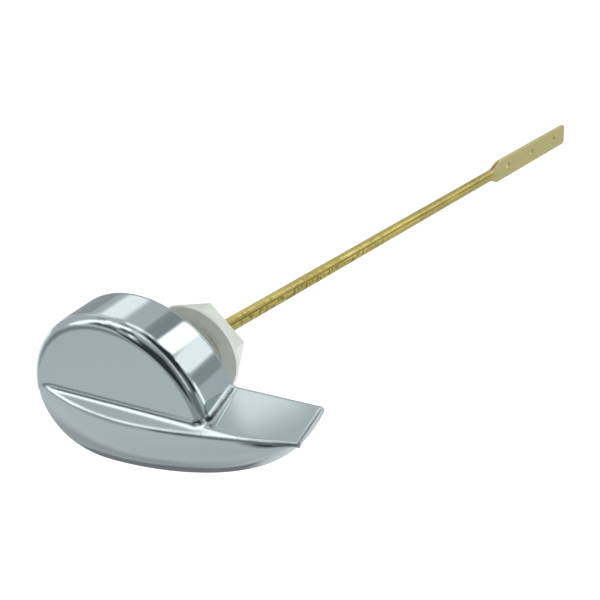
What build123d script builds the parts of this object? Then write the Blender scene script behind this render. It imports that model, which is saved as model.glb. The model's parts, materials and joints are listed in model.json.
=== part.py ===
from build123d import *
import math
import os

# Cistern lever: a chrome handle outside the cistern wall, a white threaded bush through the wall
# with its nut, and a brass arm inside. Millimetres. The spindle axis is Y, the wall's outer face
# is the plane y = 0, the user stands on the -Y side, the wing points to +X and +Z is up.

# Handle, outside
drum_radius = 26.0          # round upper part
drum_depth = 13.5           # back rim to the flat half-moon panel
drum_edge_round = 2.65      # soft edge round the panel
rim_gap = 0.8               # back rim to the wall, so the handle turns freely
wing_reach = 48.8           # spindle axis to the wing's end
ledge_height = 6.3          # ledge above the axis, at the back rim
ledge_slope = 0.178         # fall of the ledge for each millimetre to the front
shelf_slope = 0.65          # fall of the shelf in front of the panel
shelf_bend = 2.9            # soft bend between ledge and shelf
left_in = 1.5               # ridge behind the panel, at the handle's left end
left_lean = 0.30            # how fast the ridge comes forward there
belly_out = 3.5             # ridge in front of the panel, where the crescent stands out most
shoulder_out = 2.0          # the same, beside the drum
tip_in = 1.8                # ridge behind the panel, at the wing's end
tip_lean = 0.245            # how fast the ridge goes back there
keel_drop = 24.9            # rim of the underside below the axis, under the spindle
keel_left_drop = 27.3       # the same, at the handle's left end
keel_side_x = 31.0          # a place along the wing
keel_side_drop = 14.7       # rim of the underside below the axis at that place
keel_tip_rise = 2.1         # how steeply the underside rises to the wing's end
tip_thickness = 1.1         # wing's end, at the back
ridge_band = 0.36           # upright band under the ridge
tip_band = 1.1              # the same, at the wing's end
ridge_round = 0.66          # ridge and wing's end
tip_share = 0.64            # most of the wing's end that this round may take
belly_fullness = 0.6        # roundness of the crescent's section under the ridge
rim_fullness = 0.225        # the same towards the rim
rim_slope = 0.89            # rise of the underside at the rim for each millimetre to the front
cove_round = 1.8            # hollow corner between drum and ledge

# Handle, inside
casting_wall = 2.5
pocket_end = 8.0            # solid end of the wing
hub_radius = 8.0
spindle_radius = 4.5
rib_thickness = 2.4
rib_from_flange = 1.0
rib_from_rim = 0.4
turn_range = 40.0           # degrees the wing can be pressed down
stop_play = 0.3

# Bush, washer, nut and clip
washer_thickness = 2.0
washer_fit = 0.3
flange_radius = 15.0
flange_thickness = 2.5
lug_width = 5.0
lug_reach = 5.4
shank_radius = 8.0
shank_chamfer = 0.8
wall_space = 17.7           # washer to nut, as it stands in the picture
nut_flange_radius = 13.5
nut_flange_thickness = 1.1
nut_flats = 23.3
nut_hex_height = 4.4
nut_turned = 12.9           # degrees the nut's corners are turned from the wing
nut_edge_round = 0.3
thread_beyond_nut = 2.2
running_fit = 0.05
end_play = 0.2
clip_thickness = 0.8
clip_radius = 6.4
clip_opening = 5.5
groove_depth = 0.9
spindle_beyond_clip = 1.4

# Arm
arm_radius = 2.0
arm_grip = 19.0             # length held in the spindle
bend_beyond_spindle = 1.7
bend_angle = 12.4
bend_radius = 8.0
paddle_length = 60.3        # flattened end
paddle_flare = 5.0
paddle_width = 8.5
paddle_thickness = 1.4
paddle_corner = 1.6
arm_length = 205.7          # bend to the end
hole_from_end = 9.2         # last chain hole to the end
hole_count = 3
hole_pitch = 19.0
hole_radius = 1.5
pin_radius = 0.8
pin_from_end = 9.0
pin_fit = 0.02
pin_sunk = 0.3              # pin's ends below the spindle's round

# Places along the spindle axis
rim_y = -rim_gap
panel_y = rim_y - drum_depth
flange_back_y = -washer_thickness
flange_front_y = flange_back_y - flange_thickness
hub_y = flange_front_y - end_play
nut_y = wall_space
hex_y = nut_y + nut_flange_thickness
nut_back_y = hex_y + nut_hex_height
shank_end_y = nut_back_y + thread_beyond_nut
clip_y = shank_end_y + end_play
clip_back_y = clip_y + clip_thickness
spindle_end_y = clip_back_y + spindle_beyond_clip
bend_y = spindle_end_y + bend_beyond_spindle
arm_start_y = spindle_end_y - arm_grip
pin_y = spindle_end_y - pin_from_end

# Allowances of the modelling itself
far = 300.0                 # larger than anything here
overlap = 1.0               # how far joined bodies and cuts reach past a face
headroom = 6.0              # how far the crescent is lofted past the ledge before it is cut
edge_nearness = 0.15        # an edge this close to a form belongs to it
hull_sections = 11
pocket_sections = 7


def disc(radius, start, end):
    """Round bar along the spindle axis, from one place to another."""
    return extrude(Plane.XZ.offset(-start) * Circle(radius), amount=start - end)


def block_below(plane):
    """Everything below a plane."""
    return plane * Pos(0, 0, -far / 2) * Box(far, far, far)


def rounded(edges, radius):
    """Round some edges of one body, with a little less where a corner is too tight."""
    for share in (1, 0.95, 0.9, 0.85, 0.8, 0.7, 0.6, 0.5):
        try:
            result = fillet(edges, radius * share)
        except ValueError:
            continue
        if result.is_valid:
            return result
    raise ValueError("no round fits these edges")


def left_of_round(radius):
    """Everything on the left that lies outside the drum's round."""
    return Pos(-far / 2, 0, 0) * Box(far, far, far) - disc(radius, -far, far)


# The ledge is one sloping plane that bends down to a steeper shelf in front of the panel.
ledge = Plane(origin=(0, rim_y, ledge_height), x_dir=(1, 0, 0), z_dir=(0, -ledge_slope, 1))
shelf_y = panel_y


def top_height(y):
    """Height of ledge and shelf at a place from back to front."""
    return ledge_height + ledge_slope * (y - rim_y) + (shelf_slope - ledge_slope) * min(0, y - shelf_y)


def above_top(inset):
    """Everything above ledge and shelf, or above a skin of that thickness under them."""
    back = rim_y + headroom
    front = shelf_y - drum_depth
    skin = FilletPolyline([(y, top_height(y) - inset) for y in (back, shelf_y, front)], radius=shelf_bend)
    roof = Polyline(skin @ 1, (front, far), (back, far), skin @ 0)
    across = Plane(origin=(0, 0, 0), x_dir=(0, 1, 0), z_dir=(1, 0, 0))
    return extrude(across * make_face(skin + roof), amount=far, both=True)


# Two curves drive the crescent under the ledge: the ridge, seen from above, and the keel, seen
# from the front.
belly_reach = drum_depth + belly_out
hull_start = -drum_radius - 1.5 * overlap
curve_start = hull_start - 0.5 * overlap
ridge = Spline(
    (curve_start, left_in - drum_depth),
    (0, -belly_reach),
    (drum_radius, -drum_depth - shoulder_out),
    (wing_reach, tip_in - drum_depth),
    tangents=[(1, -left_lean), (1, tip_lean)],
)
keel = Spline(
    (curve_start, -keel_left_drop),
    (0, -keel_drop),
    (keel_side_x, -keel_side_drop),
    (wing_reach, ledge_height - tip_thickness),
    tangents=[(1, 0), (1, keel_tip_rise)],
)


def value_at(curve, x):
    """Second coordinate of a curve that runs steadily along x."""
    low = 0.0
    high = 1.0
    for _ in range(50):
        middle = (low + high) / 2
        if (curve @ middle).X < x:
            low = middle
        else:
            high = middle
    return (curve @ low).Y


def hull_section(x, inset):
    """Section across the wing: upright front, full round belly, open above the ledge."""
    reach = -value_at(ridge, x) - inset
    drop = ledge_height - value_at(keel, x) - inset
    front = rim_y - reach
    top = top_height(front)
    back = rim_y + overlap
    bottom = ledge_height - drop
    swell = rim_fullness * reach
    share = drop / (ledge_height + keel_drop)
    rise = (rim_slope + ledge_slope) * share - ledge_slope
    along_wing = max(0, (x - drum_radius) / (wing_reach - drum_radius))
    band_z = top - ridge_band - (tip_band - ridge_band) * along_wing**2
    band_end = (front, band_z)
    keel_end = (rim_y, bottom)
    under_front = (front, band_z - belly_fullness * (band_z - bottom))
    under_back = (rim_y - swell, bottom + rise * swell)
    back_end = (back, bottom - overlap * rise)
    back_top = (back, ledge_height + headroom)
    front_top = (front, top + headroom)
    outline = Line(front_top, band_end)
    outline += Bezier(band_end, under_front, under_back, keel_end)
    outline += Polyline(keel_end, back_end, back_top, front_top)
    across = Plane(origin=(x, 0, 0), x_dir=(0, 1, 0), z_dir=(1, 0, 0))
    return across * make_face(outline)


def hull_loft(start, end, inset, count):
    """Crescent and wing from one place along x to another, or the same under a skin."""
    step = (end - start) / (count - 1)
    body = loft([hull_section(start + i * step, inset) for i in range(count)])
    return body - Pos(0, rim_y + far / 2, 0) * Box(far, far, far)


def on_top(edge):
    """True for an edge that lies along ledge or shelf."""
    middle = edge @ 0.5
    return abs(middle.Z - top_height(middle.Y)) < edge_nearness


def in_front(edge):
    """True for an edge that lies along the ridge or in front of it."""
    middle = edge @ 0.5
    return middle.Y < rim_y + value_at(ridge, middle.X) + edge_nearness


# Outer form of the handle: crescent and wing first, with their soft edges
hull = hull_loft(hull_start, wing_reach, 0, hull_sections) - above_top(0) - left_of_round(drum_radius)
side_edges = hull.edges().filter_by(GeomType.BSPLINE)
side_edges = side_edges.filter_by(lambda e: (e @ 0.5).X < -drum_radius / 2 and not on_top(e))
hull = rounded(side_edges, drum_edge_round)
top_edges = hull.edges().filter_by(on_top)
ridge_edges = top_edges.filter_by(lambda e: e.geom_type != GeomType.LINE and in_front(e))
tip_edges = top_edges.filter_by(lambda e: abs((e @ 0.5).X - wing_reach) < edge_nearness)
hull = rounded(ridge_edges + tip_edges, min(ridge_round, tip_share * tip_band))

# Drum with the flat panel
half = make_face(Polyline((0, rim_y), (drum_radius, rim_y), (drum_radius, panel_y), (0, panel_y), close=True))
half = fillet(half.vertices().sort_by_distance((drum_radius, panel_y, 0))[0], drum_edge_round)
drum_top = revolve(half, Axis.Y) - block_below(ledge.offset(-1.5 * overlap))

# Drum and crescent become one body, with a hollow corner where the drum stands on the ledge
handle = hull + drum_top
foot = handle.edges().filter_by(on_top)
foot = foot.filter_by(lambda e: panel_y - edge_nearness < (e @ 0.5).Y < rim_y - overlap)
foot = foot.filter_by(lambda e: (e @ 0.5).X < drum_radius)
handle = rounded(foot, cove_round)

# Hollow back: a round cup in the drum that opens into a pocket along the wing
cup_radius = drum_radius - casting_wall
cup_y = panel_y + casting_wall
cup = disc(cup_radius, cup_y, rim_y)
pocket = hull_loft(-cup_radius - overlap, wing_reach - pocket_end, casting_wall, pocket_sections)
under_ledge = pocket - above_top(casting_wall) - left_of_round(cup_radius)
hollow = cup - block_below(ledge.offset(-casting_wall)) + (pocket & cup) + under_ledge
hub = handle & disc(hub_radius, rim_y - belly_reach - overlap, hub_y)
handle = handle - hollow

# The hub grows out of the casting's front wall, and the spindle out of the hub
spindle = disc(spindle_radius, hub_y - overlap, spindle_end_y)
groove_radius = spindle_radius - groove_depth
groove = disc(spindle_radius + overlap, clip_y, clip_back_y) - disc(groove_radius, clip_y, clip_back_y)
handle = handle + hub + spindle - groove - disc(arm_radius + pin_fit, arm_start_y, spindle_end_y)

# Two stop ribs in the cup. The bush's lug stands between them and lets the wing go down.
lug_end = flange_radius + lug_reach
rib_start = flange_radius + rib_from_flange
stop_angle = math.degrees((lug_width / 2 + rib_thickness / 2 + stop_play) / rib_start)
rib_end = cup_radius + overlap
rib_back_y = rim_y - rib_from_rim
rib_front_y = cup_y - overlap
rib_shape = Pos((rib_start + rib_end) / 2, 0) * Rectangle(rib_end - rib_start, rib_thickness)
rib = extrude(Plane.XZ.offset(-rib_front_y) * rib_shape, amount=rib_front_y - rib_back_y)
for angle in (90 - stop_angle, 90 + stop_angle + turn_range):
    handle = handle + Rotation(0, -angle, 0) * rib

# Cross pin through spindle and arm
pin = Pos(0, pin_y, 0) * Cylinder(pin_radius, 2 * (spindle_radius - pin_sunk))
pin_hole = Pos(0, pin_y, 0) * Cylinder(pin_radius + pin_fit, 2 * (spindle_radius + overlap))
handle = handle - pin_hole

# Bush with its flange, stop lug and plain round standing for the thread
flange = disc(flange_radius, flange_front_y, flange_back_y)
bush = flange + disc(shank_radius, flange_back_y - overlap, shank_end_y)
bush = chamfer(bush.edges().filter_by(GeomType.CIRCLE).sort_by(Axis.Y)[-1], shank_chamfer)
lug_length = lug_reach + 2 * overlap
lug_middle = (flange_front_y + flange_back_y) / 2
lug = Pos(0, lug_middle, lug_end - lug_length / 2) * Box(lug_width, flange_thickness, lug_length)
bush = bush + lug - disc(spindle_radius + running_fit, flange_front_y - overlap, shank_end_y + overlap)

# Washer between flange and wall
washer = disc(flange_radius, flange_back_y, 0) - disc(shank_radius + washer_fit, flange_back_y, 0)

# Nut: a thin flange and a six-sided head, turned on the thread
head_shape = RegularPolygon(nut_flats / 2, 6, major_radius=False, rotation=nut_turned)
head = extrude(Plane.XZ.offset(-nut_y) * head_shape, amount=nut_y - nut_back_y)
head_edges = head.edges().filter_by(lambda e: e.center().Y > hex_y)
head = fillet(head_edges, nut_edge_round)
nut = disc(nut_flange_radius, nut_y, hex_y) + head
nut = nut - disc(shank_radius + running_fit, nut_y - overlap, nut_back_y + overlap)

# Clip in the spindle's groove
clip = disc(clip_radius, clip_y, clip_back_y) - disc(groove_radius + pin_fit, clip_y, clip_back_y)
clip = clip - Pos(0, clip_y, -clip_radius) * Box(clip_opening, 4 * clip_thickness, 2 * clip_radius)

# Arm: a round rod, bent once towards the wing, its end beaten flat and pierced for the chain
paddle_start = arm_length - paddle_length
turn = math.radians(bend_angle)
along = Vector(math.sin(turn), math.cos(turn), 0)
bend = Vector(0, bend_y, 0)
flat = Plane(origin=bend, x_dir=along, z_dir=(math.cos(turn), -math.sin(turn), 0))
rod_path = FilletPolyline((0, arm_start_y), (0, bend_y), (bend + along * paddle_start), radius=bend_radius)
rod = sweep(Plane(origin=(0, arm_start_y, 0), z_dir=(0, 1, 0)) * Circle(arm_radius), path=rod_path)


def across_arm(distance):
    """Plane across the arm at a distance from the bend, local x pointing up."""
    return Plane(origin=bend + along * distance, x_dir=(0, 0, 1), z_dir=along)


slot = SlotOverall(paddle_width, paddle_thickness)
blade_section = across_arm(paddle_start + paddle_flare) * slot
flare = loft([across_arm(paddle_start) * Circle(arm_radius), blade_section])
blade = extrude(blade_section, amount=paddle_length - paddle_flare)
blade_middle = arm_length - paddle_length / 2
blade_face = Pos(blade_middle, 0) * RectangleRounded(paddle_length, paddle_width, paddle_corner)
blade = blade & extrude(flat * blade_face, amount=2 * arm_radius, both=True)
arm = rod + flare + blade
last_hole = arm_length - hole_from_end
for i in range(hole_count):
    arm = arm - flat * Pos(last_hole - i * hole_pitch, 0, 0) * Cylinder(hole_radius, 4 * arm_radius)
arm = arm - pin_hole

os.makedirs("parts", exist_ok=True)
export_step(handle, "parts/handle.step")
export_step(bush, "parts/bush.step")
export_step(washer, "parts/washer.step")
export_step(nut, "parts/nut.step")
export_step(clip, "parts/clip.step")
export_step(pin, "parts/cross_pin.step")
export_step(arm, "parts/arm.step")
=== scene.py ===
import json
import math
from typing import NamedTuple

import bpy
from bpy.props import FloatProperty, FloatVectorProperty, IntProperty, PointerProperty
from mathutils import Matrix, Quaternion, Vector

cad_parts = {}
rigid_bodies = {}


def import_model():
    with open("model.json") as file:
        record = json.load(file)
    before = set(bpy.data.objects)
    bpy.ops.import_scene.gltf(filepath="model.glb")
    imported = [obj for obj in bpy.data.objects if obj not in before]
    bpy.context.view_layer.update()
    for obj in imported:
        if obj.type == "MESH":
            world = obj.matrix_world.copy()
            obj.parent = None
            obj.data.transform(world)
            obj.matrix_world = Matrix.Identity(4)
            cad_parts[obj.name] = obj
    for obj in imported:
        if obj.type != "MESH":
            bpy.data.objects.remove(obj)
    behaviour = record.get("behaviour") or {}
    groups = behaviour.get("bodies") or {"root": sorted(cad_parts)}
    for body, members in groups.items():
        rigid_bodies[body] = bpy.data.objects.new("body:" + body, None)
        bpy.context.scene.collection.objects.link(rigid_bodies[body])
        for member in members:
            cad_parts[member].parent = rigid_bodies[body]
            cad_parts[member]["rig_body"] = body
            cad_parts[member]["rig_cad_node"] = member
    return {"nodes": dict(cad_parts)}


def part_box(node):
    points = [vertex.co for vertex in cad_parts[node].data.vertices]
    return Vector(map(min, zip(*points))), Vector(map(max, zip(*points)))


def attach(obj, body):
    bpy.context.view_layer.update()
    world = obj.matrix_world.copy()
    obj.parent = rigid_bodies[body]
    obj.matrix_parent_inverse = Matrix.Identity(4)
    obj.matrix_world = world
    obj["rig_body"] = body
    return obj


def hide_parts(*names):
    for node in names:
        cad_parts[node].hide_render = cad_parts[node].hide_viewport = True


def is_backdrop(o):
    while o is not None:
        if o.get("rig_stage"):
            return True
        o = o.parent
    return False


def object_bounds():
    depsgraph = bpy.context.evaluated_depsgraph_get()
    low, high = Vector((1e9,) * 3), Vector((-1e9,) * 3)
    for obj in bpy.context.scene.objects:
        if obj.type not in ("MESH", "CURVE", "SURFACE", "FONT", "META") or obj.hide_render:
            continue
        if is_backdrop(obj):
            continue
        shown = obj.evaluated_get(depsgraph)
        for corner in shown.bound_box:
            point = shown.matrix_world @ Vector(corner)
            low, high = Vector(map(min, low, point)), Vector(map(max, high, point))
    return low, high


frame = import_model()

bl_info = {
    "name": "Cistern lever looks",
    "version": (1, 0, 0),
    "blender": (4, 5, 0),
    "location": "View3D > Sidebar > Lever",
    "description": "Chrome, brass and plastic finishes, cut threads and a studio for a packed cistern lever",
    "category": "Object",
}

MM = 0.001
SHEET_WHITE = (1.0, 1.0, 1.0, 1.0)
WINGWARD, INWARD, UPWARD = (1.0, 0.0, 0.0), (0.0, 1.0, 0.0), (0.0, 0.0, 1.0)

BUSH_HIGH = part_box("bush")[1]
NUT_LOW, NUT_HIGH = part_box("nut")
WASHER_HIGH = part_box("washer")[1]


# Sizes and colours that a user would change


class LeverThreadSizes(bpy.types.PropertyGroup):
    """The moulded screw thread of the bush and the nut."""

    shank_radius: FloatProperty(
        name="Shank radius", description="Outer radius of the bush's shank",
        default=8.0 * MM, min=1 * MM, unit="LENGTH", precision=5)
    bore_radius: FloatProperty(
        name="Nut bore radius", description="Radius of the nut's bore",
        default=8.05 * MM, min=1 * MM, unit="LENGTH", precision=5)
    pitch: FloatProperty(
        name="Pitch", description="Distance from one thread to the next",
        default=2.0 * MM, min=0.5 * MM, unit="LENGTH", precision=5)
    depth: FloatProperty(
        name="Depth", description="How deep the groove is cut",
        default=0.95 * MM, min=0.1 * MM, unit="LENGTH", precision=5)
    clearance: FloatProperty(
        name="Clearance", description="How far the groove's cutter stands out of the crests",
        default=0.4 * MM, min=0.05 * MM, unit="LENGTH", precision=5)
    plain_length: FloatProperty(
        name="Plain length", description="Smooth shank between the washer and the first groove",
        default=1.6 * MM, min=0.0, unit="LENGTH", precision=5)
    steps: IntProperty(
        name="Steps", description="Straight runs in one turn of the thread", default=64, min=12)


class LeverChromeFinish(bpy.types.PropertyGroup):
    """Bright plating on the handle."""

    tint: FloatVectorProperty(
        name="Tint", description="Colour of the plating",
        subtype="COLOR", size=4, min=0, max=1, default=(0.59, 0.665, 0.672, 1))
    polish: FloatProperty(
        name="Polish", description="Roughness of the polished faces", subtype="FACTOR",
        min=0, max=1, default=0.045)
    smudge: FloatProperty(
        name="Smudge", description="Roughness that finger marks add", subtype="FACTOR",
        min=0, max=1, default=0.05)
    cast_roughness: FloatProperty(
        name="Cast roughness", description="Roughness of the unpolished hollow back", subtype="FACTOR",
        min=0, max=1, default=0.38)
    cup_floor: FloatProperty(
        name="Cup floor", description="Distance of the hollow cup's floor from the wall",
        default=-11.8 * MM, unit="LENGTH", precision=5)
    hub_reach: FloatProperty(
        name="Hub reach", description="Radius around the spindle that is left as cast",
        default=12.0 * MM, min=0, unit="LENGTH", precision=5)
    edge_softness: FloatProperty(
        name="Edge softness", description="How far polishing has softened the light on each edge",
        default=1.1 * MM, min=0, unit="LENGTH", precision=5)


class LeverBrassFinish(bpy.types.PropertyGroup):
    """Drawn brass of the trip arm, with its painted highlight and painted dark reflection."""

    bright: FloatVectorProperty(
        name="Bright", description="Colour of clean brass",
        subtype="COLOR", size=4, min=0, max=1, default=(0.75, 0.61, 0.17, 1))
    tarnish: FloatVectorProperty(
        name="Tarnish", description="Colour of dulled brass",
        subtype="COLOR", size=4, min=0, max=1, default=(0.50, 0.42, 0.13, 1))
    pale: FloatVectorProperty(
        name="Pale", description="Colour of the pressed flat end",
        subtype="COLOR", size=4, min=0, max=1, default=(0.80, 0.72, 0.35, 1))
    # Painted highlight: colour of the bright band on the rod's upper side
    painted_highlight: FloatVectorProperty(
        name="Rubbed", description="Colour where the drawing die has rubbed the rod bright",
        subtype="COLOR", size=4, min=0, max=1, default=(0.95, 0.82, 0.36, 1))
    # Colour of the dark marks: partly die marks, partly painted dark reflection in fixed bands round the rod
    dark_marks_and_reflection: FloatVectorProperty(
        name="Grime", description="Colour of the dark drawing streaks",
        subtype="COLOR", size=4, min=0, max=1, default=(0.25, 0.19, 0.05, 1))
    lean: FloatProperty(
        name="Lean", description="Angle between the rod beyond its bend and the spindle",
        subtype="ANGLE", default=math.radians(12.4))
    bend: FloatProperty(
        name="Bend", description="Distance of the rod's bend from the wall",
        default=29.5 * MM, unit="LENGTH", precision=5)
    marked_length: FloatProperty(
        name="Marked length", description="How far the die marks reach along the rod",
        default=95.0 * MM, min=0, unit="LENGTH", precision=5)
    flat_from: FloatProperty(
        name="Flat from", description="Distance from the bend to the pressed flat end",
        default=142.0 * MM, min=0, unit="LENGTH", precision=5)


class LeverPlasticFinish(bpy.types.PropertyGroup):
    """Off-white moulded plastic of the bush and the nut."""

    shell: FloatVectorProperty(
        name="Shell", description="Colour of the plastic",
        subtype="COLOR", size=4, min=0, max=1, default=(0.86, 0.88, 0.83, 1))
    shade: FloatVectorProperty(
        name="Shade", description="Colour of its slightly yellowed patches",
        subtype="COLOR", size=4, min=0, max=1, default=(0.80, 0.81, 0.72, 1))


class LeverStudio(bpy.types.PropertyGroup):
    """Camera, floor and light."""

    camera_place: FloatVectorProperty(
        name="Camera place", description="Where the camera stands",
        subtype="TRANSLATION", unit="LENGTH", size=3, default=(0.13003, -0.14385, 0.11501))
    camera_aim: FloatVectorProperty(
        name="Camera aim", description="A point in the middle of the view",
        subtype="TRANSLATION", unit="LENGTH", size=3, default=(0.03867, 0.01005, 0.02573))
    camera_roll: FloatProperty(
        name="Camera roll", description="Turn of the camera about its line of view",
        subtype="ANGLE", default=math.radians(-5.13))
    lens: FloatProperty(name="Lens", description="Focal length in millimetres", default=53.52, min=1)
    floor_drop: FloatProperty(
        name="Floor drop", description="How far the floor lies below the part",
        default=0.12, min=0, unit="LENGTH")
    floor_side: FloatProperty(
        name="Floor side", description="Length of the floor's sides", default=12.0, min=1, unit="LENGTH")
    lamp_place: FloatVectorProperty(
        name="Lamp place", description="Where the soft fill lamp hangs",
        subtype="TRANSLATION", unit="LENGTH", size=3, default=(0.40, 0.20, 0.36))
    lamp_side: FloatProperty(
        name="Lamp side", description="Length of the fill lamp's sides", default=0.3, min=0.01, unit="LENGTH")
    lamp_power: FloatProperty(
        name="Lamp power", description="Power of the fill lamp in watts", default=0.85, min=0)


# Node expressions


class Shade:
    """A socket of a node tree that can stand in a Python expression."""

    def __init__(self, tree, socket=None):
        self.tree = tree
        self.socket = socket

    def node(self, kind, settings=None, sockets=None, output=0):
        """Adds a node of that type, sets it up, fills its sockets and gives one of its outputs."""
        made = self.tree.nodes.new(kind)
        for name, value in (settings or {}).items():
            if name == "stops":
                fill_stops(made.color_ramp, value)
            else:
                setattr(made, name, value)
        for name, value in (sockets or {}).items():
            if isinstance(value, Shade):
                self.tree.links.new(value.socket, made.inputs[name])
            else:
                made.inputs[name].default_value = value
        return Shade(self.tree, made.outputs[output])

    def maths(self, operation, first, second=0.0):
        """Adds a Math node over one or two values."""
        return self.node("ShaderNodeMath", {"operation": operation}, {0: first, 1: second})

    def __add__(self, other):
        return self.maths("ADD", self, other)

    def __radd__(self, other):
        return self.maths("ADD", other, self)

    def __sub__(self, other):
        return self.maths("SUBTRACT", self, other)

    def __rsub__(self, other):
        return self.maths("SUBTRACT", other, self)

    def __mul__(self, other):
        return self.maths("MULTIPLY", self, other)

    def __rmul__(self, other):
        return self.maths("MULTIPLY", other, self)

    def __truediv__(self, other):
        return self.maths("DIVIDE", self, other)

    def __rtruediv__(self, other):
        return self.maths("DIVIDE", other, self)


def fill_stops(ramp, stops):
    """Sets a ramp's stops from (place, colour) pairs."""
    while len(ramp.elements) < len(stops):
        ramp.elements.new(1.0)
    for element, (place, colour) in zip(ramp.elements, stops):
        element.position = place
        element.color = colour


def step(value, start, end):
    """Smooth rise from 0 at start to 1 at end."""
    settings = {"interpolation_type": "SMOOTHSTEP"}
    return value.node("ShaderNodeMapRange", settings, {"Value": value, "From Min": start, "From Max": end})


def step_in(value, low, high, soft):
    """1 between low and high, falling softly to 0 outside them."""
    return step(value, low - soft, low) * step(value, high + soft, high)


def greatest(first, *others):
    """The largest of some values."""
    for other in others:
        first = first.maths("MAXIMUM", first, other)
    return first


def mixed(factor, first, second):
    """Blend of two colours."""
    # The Mix node's colour sockets share their names with others, so they go by number
    settings = {"data_type": "RGBA", "clamp_factor": True}
    return factor.node("ShaderNodeMix", settings, {0: factor, 6: first, 7: second}, output=2)


def noise(place, scale, detail=2.0, rough=0.5):
    """Cloudy pattern over a place vector."""
    sockets = {"Vector": place, "Scale": scale, "Detail": detail, "Roughness": rough}
    return place.node("ShaderNodeTexNoise", None, sockets)


def stretched(place, scale):
    """A place vector with each axis scaled by itself."""
    return place.node("ShaderNodeVectorMath", {"operation": "MULTIPLY"}, {0: place, 1: scale})


def along(place, direction):
    """How far a place lies along a direction."""
    settings = {"operation": "DOT_PRODUCT"}
    return place.node("ShaderNodeVectorMath", settings, {0: place, 1: direction}, output="Value")


def bumped(height, strength, distance, normal=None):
    """Surface normal raised by a height."""
    sockets = {"Height": height, "Strength": strength, "Distance": distance}
    if normal:
        sockets["Normal"] = normal
    return height.node("ShaderNodeBump", None, sockets)


def new_finish(name):
    """A fresh material: gives it, its surface shader and its place in millimetres."""
    material = bpy.data.materials.new(name)
    material.use_nodes = True
    tree = material.node_tree
    surface = tree.nodes["Principled BSDF"]
    place = Shade(tree).node("ShaderNodeTexCoord", output="Object")
    return material, surface, stretched(place, (1 / MM, 1 / MM, 1 / MM))


def feed(surface, **sockets):
    """Sets or links the surface shader's sockets; underscores stand for blanks."""
    for name, value in sockets.items():
        socket = surface.inputs[name.replace("_", " ")]
        if isinstance(value, Shade):
            value.tree.links.new(value.socket, socket)
        else:
            socket.default_value = value


def dress(piece, material):
    """Puts one material on all of a piece."""
    slots = piece.data.materials
    slots.clear()
    slots.append(material)


# Finishes

# The rod's marks, painted highlight and painted dark reflection, in degrees around it from its wing side
# upwards
DARK_STREAK_BAND = (25.0, 33.0)
PAINTED_HIGHLIGHT_BAND = (44.0, 66.0)
DASH_BAND = (-40.0, 22.0)
DARK_FLECK_BAND = (25.0, 75.0)

# Distances along the rod from its bend, in millimetres
MARKS_START = (3.0, 9.0)
DULL_STRETCH = (60.0, 120.0)
FLAT_FADE = 8.0

RUBBER_DARK, RUBBER_BLOOM = (0.022, 0.022, 0.023, 1.0), (0.05, 0.05, 0.05, 1.0)
STEEL_DULL, STEEL_BRIGHT = (0.42, 0.42, 0.43, 1.0), (0.58, 0.58, 0.59, 1.0)
PAPER, PAPER_GLOW = (0.9, 0.9, 0.9, 1.0), 0.55


def dimmed(colour, share):
    """A colour at a share of its strength."""
    return (colour[0] * share, colour[1] * share, colour[2] * share, 1.0)


def cast_skin(sizes, place):
    """1 on the walls, floor and hub of the hollow back, 0 on the polished faces."""
    outward = place.node("ShaderNodeTexCoord", output="Normal")
    around = stretched(place, (1.0, 0.0, 1.0))
    reach = place.node("ShaderNodeVectorMath", {"operation": "LENGTH"}, {0: around}, output="Value")
    depth = along(place, INWARD) - sizes.cup_floor / MM
    inner_walls = step(along(outward, around), 0.0, -2.0)
    back_faces = step(along(outward, INWARD), 0.5, 0.8) * step(depth, -0.7, -0.1)
    hub = step(reach, sizes.hub_reach / MM + 1.0, sizes.hub_reach / MM) * step(depth, -0.4, 0.2)
    return greatest(inner_walls, back_faces, hub)


def chrome_finish(sizes):
    """Bright plating outside, a duller cast skin in the hollow back."""
    material, surface, place = new_finish("bright_plating")
    cast = cast_skin(sizes, place)
    smear = noise(stretched(place, (0.05, 0.05, 0.11)), 1.0, 3.0, 0.6)
    grain = noise(place, 1.6, 3.0, 0.6)
    marks = step(smear, 0.5, 0.8)
    plating = mixed(marks * 0.5, sizes.tint, dimmed(sizes.tint, 0.95))
    polished = sizes.polish + marks * sizes.smudge
    unpolished = sizes.cast_roughness + 0.2 * (grain - 0.5)
    rounded = place.node("ShaderNodeBevel", {"samples": 6}, {"Radius": sizes.edge_softness})
    feed(
        surface,
        Base_Color=mixed(cast * (0.35 + 0.4 * grain), plating, dimmed(sizes.tint, 0.6)),
        Metallic=1.0,
        Roughness=polished * (1 - cast) + cast * unpolished,
        Normal=bumped(cast * grain + (1 - cast) * smear * 0.06, 0.25, 0.4 * MM, rounded),
    )
    return material


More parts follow.
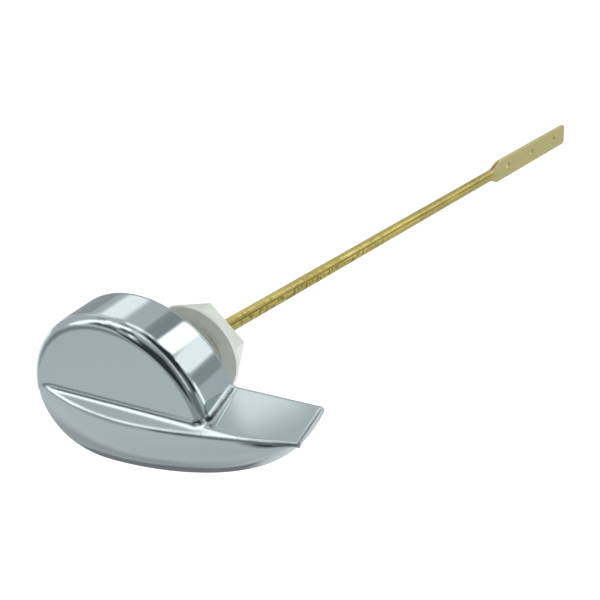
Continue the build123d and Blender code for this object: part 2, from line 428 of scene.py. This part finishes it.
def brass_finish(sizes):
    """Drawn rod with lengthwise streaks, a painted highlight broken into segments, dark marks near the handle
    that are partly die marks and partly painted dark reflection, and a paler pressed end.
    """
    material, surface, place = new_finish("drawn_brass")
    sine, cosine, bend = math.sin(sizes.lean), math.cos(sizes.lean), sizes.bend / MM
    run = along(place, (sine, cosine, 0.0)) - bend * cosine
    side = along(place, (cosine, -sine, 0.0)) + bend * sine
    up = along(place, UPWARD)
    turn = place.maths("ARCTAN2", up, side) * math.degrees(1.0)

    def pattern(run_scale, turn_scale, detail=2.0):
        """Marks drawn out along the rod or around it."""
        flow = place.node("ShaderNodeCombineXYZ", None, {0: run * run_scale, 1: turn * turn_scale})
        return noise(flow, 1.0, detail, 0.55)

    flat = step(run, sizes.flat_from / MM, sizes.flat_from / MM + FLAT_FADE)
    marks_end = sizes.marked_length / MM
    marked = step(run, *MARKS_START) * step(run, marks_end, marks_end * 0.55)
    drawn = place.node("ShaderNodeCombineXYZ", None, {0: run * 0.02, 1: side * 2.6, 2: up * 2.6})
    streaks = noise(drawn, 1.0, 3.0, 0.6)
    cloud = noise(place, 0.09, 3.0, 0.55)
    # Dark streak along the rod: partly a die mark, partly painted dark reflection
    dark_streak = step_in(turn, *DARK_STREAK_BAND, 6.0) * step(pattern(0.09, 0.0), 0.32, 0.5) * (1 - flat)
    # Painted highlight in a fixed band on the rod's upper side, broken into segments
    painted_highlight = step_in(turn, *PAINTED_HIGHLIGHT_BAND, 6.0) * step(pattern(0.42, 0.03), 0.45, 0.55) * (0.35 + 0.65 * marked)
    # Dark dashes and flecks: partly die marks, partly painted dark reflection
    dashes = step_in(turn, *DASH_BAND, 8.0) * step(pattern(0.75, 0.012, 3.0), 0.5, 0.56) * marked
    dark_flecks = step_in(turn, *DARK_FLECK_BAND, 10.0) * step(pattern(0.9, 0.006, 1.0), 0.62, 0.67) * marked
    dull = step(cloud, 0.35, 0.7) * 0.5 + step(streaks, 0.45, 0.7) * 0.35 + step(run, *DULL_STRETCH) * 0.25
    skin = mixed(dull, sizes.bright, sizes.tarnish)
    # Lays on the painted highlight, then the dark marks that are partly painted dark reflection
    skin = mixed(painted_highlight * (1 - flat) * 0.55, skin, sizes.painted_highlight)
    dark = greatest(dashes * 0.75, dark_streak * 0.6, dark_flecks * 0.5)
    skin = mixed(dark, skin, sizes.dark_marks_and_reflection)
    skin = mixed(flat * (0.55 + 0.5 * cloud), skin, sizes.pale)
    feed(
        surface,
        Base_Color=skin,
        Metallic=1.0,
        Roughness=0.26 + 0.12 * streaks + 0.1 * dull - 0.06 * painted_highlight + 0.06 * flat,
        Normal=bumped(streaks * 0.3 - dark * 0.6 + flat * cloud * 1.5, 0.35, 0.2 * MM),
    )
    return material


def plastic_finish(sizes):
    """Slightly glossy moulded plastic with faint flow marks."""
    material, surface, place = new_finish("moulded_plastic")
    cloud = noise(place, 0.12, 3.0, 0.5)
    grain = noise(place, 3.0, 2.0, 0.5)
    feed(
        surface,
        Base_Color=mixed(step(cloud, 0.35, 0.75), sizes.shell, sizes.shade),
        Roughness=0.34 + 0.12 * cloud,
        Subsurface_Weight=0.12,
        Subsurface_Scale=MM,
        Normal=bumped(grain * 0.5 + cloud, 0.08, 0.2 * MM),
    )
    return material


def rubber_finish():
    """Dark soft rubber with a dusty bloom."""
    material, surface, place = new_finish("dark_rubber")
    cloud = noise(place, 0.2, 4.0, 0.6)
    grain = noise(place, 4.0, 2.0, 0.5)
    feed(
        surface,
        Base_Color=mixed(step(cloud, 0.4, 0.75), RUBBER_DARK, RUBBER_BLOOM),
        Roughness=0.62 + 0.2 * cloud,
        Normal=bumped(grain, 0.2, 0.2 * MM),
    )
    return material


def steel_finish():
    """Bare spring steel with fine stamping lines."""
    material, surface, place = new_finish("spring_steel")
    lines = noise(stretched(place, (9.0, 1.5, 1.0)), 1.0, 2.0, 0.5)
    cloud = noise(place, 0.4, 3.0, 0.6)
    feed(
        surface,
        Base_Color=mixed(cloud, STEEL_DULL, STEEL_BRIGHT),
        Metallic=1.0,
        Roughness=0.24 + 0.2 * lines,
        Normal=bumped(lines, 0.1, 0.1 * MM),
    )
    return material


# Modelling

MERGE_DISTANCE = 0.002 * MM
SMOOTH_ANGLE = math.radians(35.0)

# The groove's mouth as a share of the pitch, and its root as a share of the mouth
GROOVE_MOUTH = 0.86
GROOVE_ROOT = 0.16

# The coil's open ends have four sides, and larger holes stay open
CAP_SIDES = 6


def deselect():
    """Leaves edit mode and clears the selection."""
    if bpy.context.mode != "OBJECT":
        bpy.ops.object.mode_set(mode="OBJECT")
    bpy.ops.object.select_all(action="DESELECT")


def pick(piece):
    """Makes one piece the only selected and active object."""
    deselect()
    piece.select_set(True)
    bpy.context.view_layer.objects.active = piece


def copy_of(node, name):
    """A merged copy of a CAD node's mesh, ready to be worked on."""
    pick(frame["nodes"][node])
    bpy.ops.object.duplicate()
    piece = bpy.context.active_object
    piece.name = name
    piece.data.name = name
    piece.parent = None
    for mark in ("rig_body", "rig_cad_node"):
        if mark in piece:
            del piece[mark]
    pick(piece)
    bpy.ops.mesh.customdata_custom_splitnormals_clear()
    bpy.ops.object.mode_set(mode="EDIT")
    bpy.ops.mesh.select_all(action="SELECT")
    bpy.ops.mesh.remove_doubles(threshold=MERGE_DISTANCE)
    bpy.ops.object.mode_set(mode="OBJECT")
    return piece


def select_points(mesh, wanted):
    """Selects the vertices whose place the test accepts, in edit mode."""
    bpy.ops.mesh.select_mode(type="VERT")
    bpy.ops.mesh.select_all(action="DESELECT")
    bpy.ops.object.mode_set(mode="OBJECT")
    for point in mesh.vertices:
        point.select = wanted(point.co)
    bpy.ops.object.mode_set(mode="EDIT")


def thread_groove(sizes, inner, outer, root_is_inner, start, end):
    """A closed coil with the groove's section, to be cut out of a shank or a bore."""
    deselect()
    middle = (inner + outer) / 2
    bpy.ops.mesh.primitive_plane_add(size=1.0, location=(middle, start, 0.0))
    groove = bpy.context.active_object
    groove.name = "thread_groove"
    bpy.ops.object.mode_set(mode="EDIT")
    bpy.ops.transform.resize(value=(outer - inner, sizes.pitch * GROOVE_MOUTH, 1.0))
    bpy.ops.object.mode_set(mode="OBJECT")
    bpy.ops.object.transform_apply(location=True, rotation=True, scale=True)
    bpy.ops.object.mode_set(mode="EDIT")
    select_points(groove.data, lambda co: (co.x < middle) == root_is_inner)
    bpy.ops.transform.resize(value=(1.0, GROOVE_ROOT, 1.0))
    bpy.ops.mesh.select_all(action="SELECT")
    bpy.ops.mesh.delete(type="ONLY_FACE")
    bpy.ops.object.mode_set(mode="OBJECT")
    coil = groove.modifiers.new("coil", "SCREW")
    coil.axis = "Y"
    coil.screw_offset = sizes.pitch
    coil.iterations = max(1, round((end - start) / sizes.pitch))
    coil.steps = sizes.steps
    coil.render_steps = sizes.steps
    bpy.ops.object.modifier_apply(modifier="coil")
    bpy.ops.object.mode_set(mode="EDIT")
    bpy.ops.mesh.select_all(action="SELECT")
    bpy.ops.mesh.fill_holes(sides=CAP_SIDES)
    bpy.ops.mesh.select_all(action="SELECT")
    bpy.ops.mesh.normals_make_consistent(inside=False)
    bpy.ops.object.mode_set(mode="OBJECT")
    return groove


def cut_away(piece, cutter):
    """Cuts the cutter's form out of a piece and takes the cutter away."""
    pick(piece)
    cut = piece.modifiers.new("cut", "BOOLEAN")
    cut.operation = "DIFFERENCE"
    cut.solver = "EXACT"
    cut.object = cutter
    bpy.ops.object.modifier_apply(modifier="cut")
    pick(cutter)
    bpy.ops.object.delete()
    pick(piece)
    bpy.ops.object.shade_smooth_by_angle(angle=SMOOTH_ANGLE)


def settle(piece, plastic, node, body):
    """Finishes a threaded piece and puts it in its CAD node's place."""
    dress(piece, plastic)
    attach(piece, body)
    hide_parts(node)


# Light


class Card(NamedTuple):
    """A lamp, wall or cloth in the room: its azimuths, elevations and soft edge in degrees, and its light."""

    azimuths: tuple
    elevations: tuple
    soft: float
    light: float


# Azimuth 0 is the user's side, 90 the wing's side and 180 the cistern's side. A later card lies over an
# earlier one, and a card that runs past 180 goes on from -180 as its left end.
ROOM_CARDS = {
    "wall high on the left": Card((-124, -109), (32, 50), 5, 0.86),
    "dark beam beside it": Card((-97, -80), (49, 56), 5, 0.34),
    "grey wall over the camera": Card((-46, 20), (30, 58), 5, 0.42),
    "dark end of the beam": Card((-26, -10), (43, 57), 4, 0.03),
    "dark beam overhead": Card((-138, -66), (72, 88), 4, 0.36),
    "lamp over the left corner": Card((-74, -60), (55.5, 60), 1.5, 1.7),
    "lamp overhead": Card((-50, -24), (65, 80), 4, 2.0),
    "low side of the lamp overhead": Card((-60, -36), (50, 68), 3, 2.3),
    "far end of the lamp overhead": Card((-24, 64), (74, 82), 3, 1.3),
    "tall strip lamp on the left": Card((-61, -51), (6, 50), 3, 1.8),
    "side of the strip lamp": Card((-52, -44), (33, 42), 3, 1.8),
    "small lamp over the camera": Card((-16, -9), (28, 36), 3, 2.0),
    "dark foot of the strip lamp": Card((-62, -36), (-23, -8), 3, 0.28),
    "dark gap beside the strip lamp": Card((-46, -30), (12, 29), 4, 0.10),
    "pale patch under the gap": Card((-46, -33), (-3, 6), 3, 0.70),
    "lamp low on the left": Card((-128, -86), (-28, -4), 5, 1.25),
    "grey wall on the right": Card((36, 78), (-10, 58), 8, 0.21),
    "narrow window on the right": Card((49, 58), (12, 72), 3, 1.15),
    "grey floor before the camera": Card((-26, 30), (-26, -14), 5, 0.38),
    "dark floor before the camera": Card((-16, 9), (-56, -34), 8, 0.05),
    "dark cloth round the camera": Card((-27, 24), (-9, 13), 5, 0.035),
    "dark cloth over the camera": Card((-8, 24), (10, 35), 8, 0.05),
    "foot of the black cloth on the right": Card((85, 110), (14, 50), 6, 0.04),
    "middle of the black cloth": Card((69, 134), (37, 70), 5, 0.04),
    "top of the black cloth": Card((84, 166), (61, 78), 5, 0.04),
    "soft box low on the right": Card((120, 129), (-8, 13), 2.5, 1.7),
    "soft box on the right": Card((131, 137), (24, 38), 2, 1.7),
    "edge of the black cloth": Card((130, 141), (43, 60), 4, 0.04),
    "soft box behind on the right": Card((148, 163.5), (32, 47), 3, 1.9),
    "its dimmer side": Card((136, 148), (20.5, 34), 2, 1.25),
    "dark gap under it": Card((132, 140), (8, 16), 3, 0.36),
    "soft box behind on the left": Card((-147, -134), (26, 37), 7, 1.22),
    "lamp over the left shoulder": Card((-137, -133.2), (38, 48.2), 2.7, 1.05),
    "dull wall behind on the left": Card((-150, -128), (-16, 10), 6, 0.38),
    "shade behind": Card((167, 190), (36, 60), 5, 0.33),
    "left end of the shade behind": Card((-190, -177), (36, 60), 5, 0.36),
    "strip light high behind": Card((166, 190), (51, 56), 2, 1.6),
    "left end of the strip light": Card((-190, -150), (51, 61), 2, 1.6),
    "shaded floor on the left": Card((-120, -102), (-58, -46), 20, 0.40),
    "shaded floor behind": Card((-142, -120), (-56, -41), 7, 0.20),
}

# Light of the bare room, from straight below at 0 to straight above at 1
ROOM_SHADES = ((0.0, 0.62), (0.17, 0.60), (0.3, 0.66), (0.45, 0.55), (1.0, 0.65))


def cool(level):
    """A grey that turns a little bluer the darker it is."""
    light = min(level, 1.0)
    return (level * (0.90 + 0.09 * light), level, level * (1.06 - 0.05 * light), 1.0)


def room_light(world):
    """Soft boxes and dark cloths around the part, plain white where the camera sees past the floor."""
    world.use_nodes = True
    tree = world.node_tree
    tree.nodes.clear()
    direction = Shade(tree).node("ShaderNodeTexCoord", output="Generated")
    to_wing, to_user = along(direction, WINGWARD), along(direction, (0.0, -1.0, 0.0))
    azimuth = direction.maths("ARCTAN2", to_wing, to_user) * math.degrees(1.0)
    elevation = direction.maths("ARCSINE", along(direction, UPWARD)) * math.degrees(1.0)
    room = direction.node(
        "ShaderNodeValToRGB",
        {"stops": [(place, cool(level)) for place, level in ROOM_SHADES]},
        {"Fac": elevation / 180.0 + 0.5},
    )
    for card in ROOM_CARDS.values():
        across = step_in(azimuth, *card.azimuths, card.soft)
        upright = step_in(elevation, *card.elevations, card.soft)
        room = mixed(across * upright, room, cool(card.light))
    seen = direction.node("ShaderNodeLightPath", output="Is Camera Ray")
    lit = direction.node("ShaderNodeBackground", None, {"Color": room, "Strength": 1.0})
    plain = direction.node("ShaderNodeBackground", None, {"Color": SHEET_WHITE, "Strength": 1.0})
    both = direction.node("ShaderNodeMixShader", None, {0: seen, 1: lit, 2: plain})
    tree.links.new(both.socket, tree.nodes.new("ShaderNodeOutputWorld").inputs["Surface"])


# Operators

# The camera's sensor in millimetres and the range that it sees in metres
SENSOR_WIDTH = 36.0
CLIP_START, CLIP_END = 0.005, 50.0


class LEVER_OT_handle(bpy.types.Operator):
    """Gives the handle its bright plating"""

    bl_idname = "lever.handle"
    bl_label = "Plate the handle"

    def execute(self, context):
        dress(frame["nodes"]["handle"], chrome_finish(context.scene.lever_chrome))
        return {"FINISHED"}


class LEVER_OT_arm(bpy.types.Operator):
    """Gives the trip arm its drawn brass"""

    bl_idname = "lever.arm"
    bl_label = "Finish the arm"

    def execute(self, context):
        dress(frame["nodes"]["arm"], brass_finish(context.scene.lever_brass))
        return {"FINISHED"}


class LEVER_OT_threads(bpy.types.Operator):
    """Cuts the screw thread into the bush and the nut and finishes their plastic"""

    bl_idname = "lever.threads"
    bl_label = "Thread the bush and the nut"

    def execute(self, context):
        sizes = context.scene.lever_thread
        plastic = plastic_finish(context.scene.lever_plastic)
        self.thread_bush(sizes, plastic)
        self.thread_nut(sizes, plastic)
        return {"FINISHED"}

    def thread_bush(self, sizes, plastic):
        bush = copy_of("bush", "threaded_bush")
        root, crest = sizes.shank_radius - sizes.depth, sizes.shank_radius + sizes.clearance
        start, end = WASHER_HIGH.y + sizes.plain_length, BUSH_HIGH.y + sizes.pitch
        cut_away(bush, thread_groove(sizes, root, crest, True, start, end))
        settle(bush, plastic, "bush", "mounting")

    def thread_nut(self, sizes, plastic):
        nut = copy_of("nut", "threaded_nut")
        root, crest = sizes.bore_radius + sizes.depth, sizes.bore_radius - sizes.clearance
        start, end = NUT_LOW.y - sizes.pitch, NUT_HIGH.y + sizes.pitch
        cut_away(nut, thread_groove(sizes, crest, root, False, start, end))
        settle(nut, plastic, "nut", "lock_nut")


class LEVER_OT_fixings(bpy.types.Operator):
    """Finishes the washer, the clip and the cross pin"""

    bl_idname = "lever.fixings"
    bl_label = "Finish the small parts"

    def execute(self, context):
        steel = steel_finish()
        dress(frame["nodes"]["washer"], rubber_finish())
        dress(frame["nodes"]["clip"], steel)
        dress(frame["nodes"]["cross_pin"], steel)
        return {"FINISHED"}


class LEVER_OT_stage(bpy.types.Operator):
    """Sets up the floor, the light and the camera"""

    bl_idname = "lever.stage"
    bl_label = "Set the stage"

    def execute(self, context):
        studio = context.scene.lever_studio
        self.lay_floor(studio)
        world = bpy.data.worlds.new("studio")
        context.scene.world = world
        room_light(world)
        self.hang_lamp(context, studio)
        self.place_camera(context, studio)
        context.scene.view_settings.view_transform = "Standard"
        return {"FINISHED"}

    def lay_floor(self, studio):
        deselect()
        low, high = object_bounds()
        middle = (low + high) / 2
        place = (middle.x, middle.y, low.z - studio.floor_drop)
        bpy.ops.mesh.primitive_plane_add(size=studio.floor_side, location=place)
        floor = bpy.context.active_object
        floor.name = "floor"
        material, surface, _ = new_finish("white_paper")
        feed(surface, Base_Color=PAPER, Roughness=0.9,
             Emission_Color=SHEET_WHITE, Emission_Strength=PAPER_GLOW)
        dress(floor, material)
        floor.visible_glossy = False
        floor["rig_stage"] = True

    def hang_lamp(self, context, studio):
        """A soft lamp behind the wing that lifts the plastic and leaves no mark in the plating."""
        light = bpy.data.lights.new("fill_lamp", "AREA")
        light.energy = studio.lamp_power
        light.size = studio.lamp_side
        lamp = bpy.data.objects.new("fill_lamp", light)
        context.scene.collection.objects.link(lamp)
        lamp.location = studio.lamp_place
        lamp.rotation_mode = "QUATERNION"
        lamp.rotation_quaternion = (NUT_HIGH - lamp.location).to_track_quat("-Z", "Y")
        lamp.visible_glossy = False
        lamp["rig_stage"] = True

    def place_camera(self, context, studio):
        place = Vector(studio.camera_place)
        view = (Vector(studio.camera_aim) - place).normalized()
        camera = bpy.data.objects.new("camera", bpy.data.cameras.new("camera"))
        context.scene.collection.objects.link(camera)
        camera.location = place
        camera.rotation_mode = "QUATERNION"
        camera.rotation_quaternion = view.to_track_quat("-Z", "Y") @ Quaternion((0, 0, 1), studio.camera_roll)
        camera.data.lens = studio.lens
        camera.data.sensor_width = SENSOR_WIDTH
        camera.data.clip_start = CLIP_START
        camera.data.clip_end = CLIP_END
        context.scene.camera = camera


class LEVER_PT_panel(bpy.types.Panel):
    """Lists the lever's operators and sizes"""

    bl_idname = "LEVER_PT_panel"
    bl_label = "Cistern lever"
    bl_space_type = "VIEW_3D"
    bl_region_type = "UI"
    bl_category = "Lever"

    def draw(self, context):
        for operator in OPERATORS:
            self.layout.operator(operator.bl_idname)
        for name, group in GROUPS.items():
            box = self.layout.box()
            box.label(text=group.__doc__)
            for key in group.__annotations__:
                box.prop(getattr(context.scene, name), key)


OPERATORS = (LEVER_OT_handle, LEVER_OT_arm, LEVER_OT_threads, LEVER_OT_fixings, LEVER_OT_stage)
GROUPS = {
    "lever_thread": LeverThreadSizes,
    "lever_chrome": LeverChromeFinish,
    "lever_brass": LeverBrassFinish,
    "lever_plastic": LeverPlasticFinish,
    "lever_studio": LeverStudio,
}


def register():
    for kind in (*GROUPS.values(), *OPERATORS, LEVER_PT_panel):
        bpy.utils.register_class(kind)
    for name, group in GROUPS.items():
        setattr(bpy.types.Scene, name, PointerProperty(type=group))


def unregister():
    for name in GROUPS:
        delattr(bpy.types.Scene, name)
    for kind in reversed((*GROUPS.values(), *OPERATORS, LEVER_PT_panel)):
        bpy.utils.unregister_class(kind)


def main():
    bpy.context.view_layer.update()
    register()
    bpy.ops.lever.handle()
    bpy.ops.lever.arm()
    bpy.ops.lever.threads()
    bpy.ops.lever.fixings()
    bpy.ops.lever.stage()


if __name__ == "__main__":
    main()
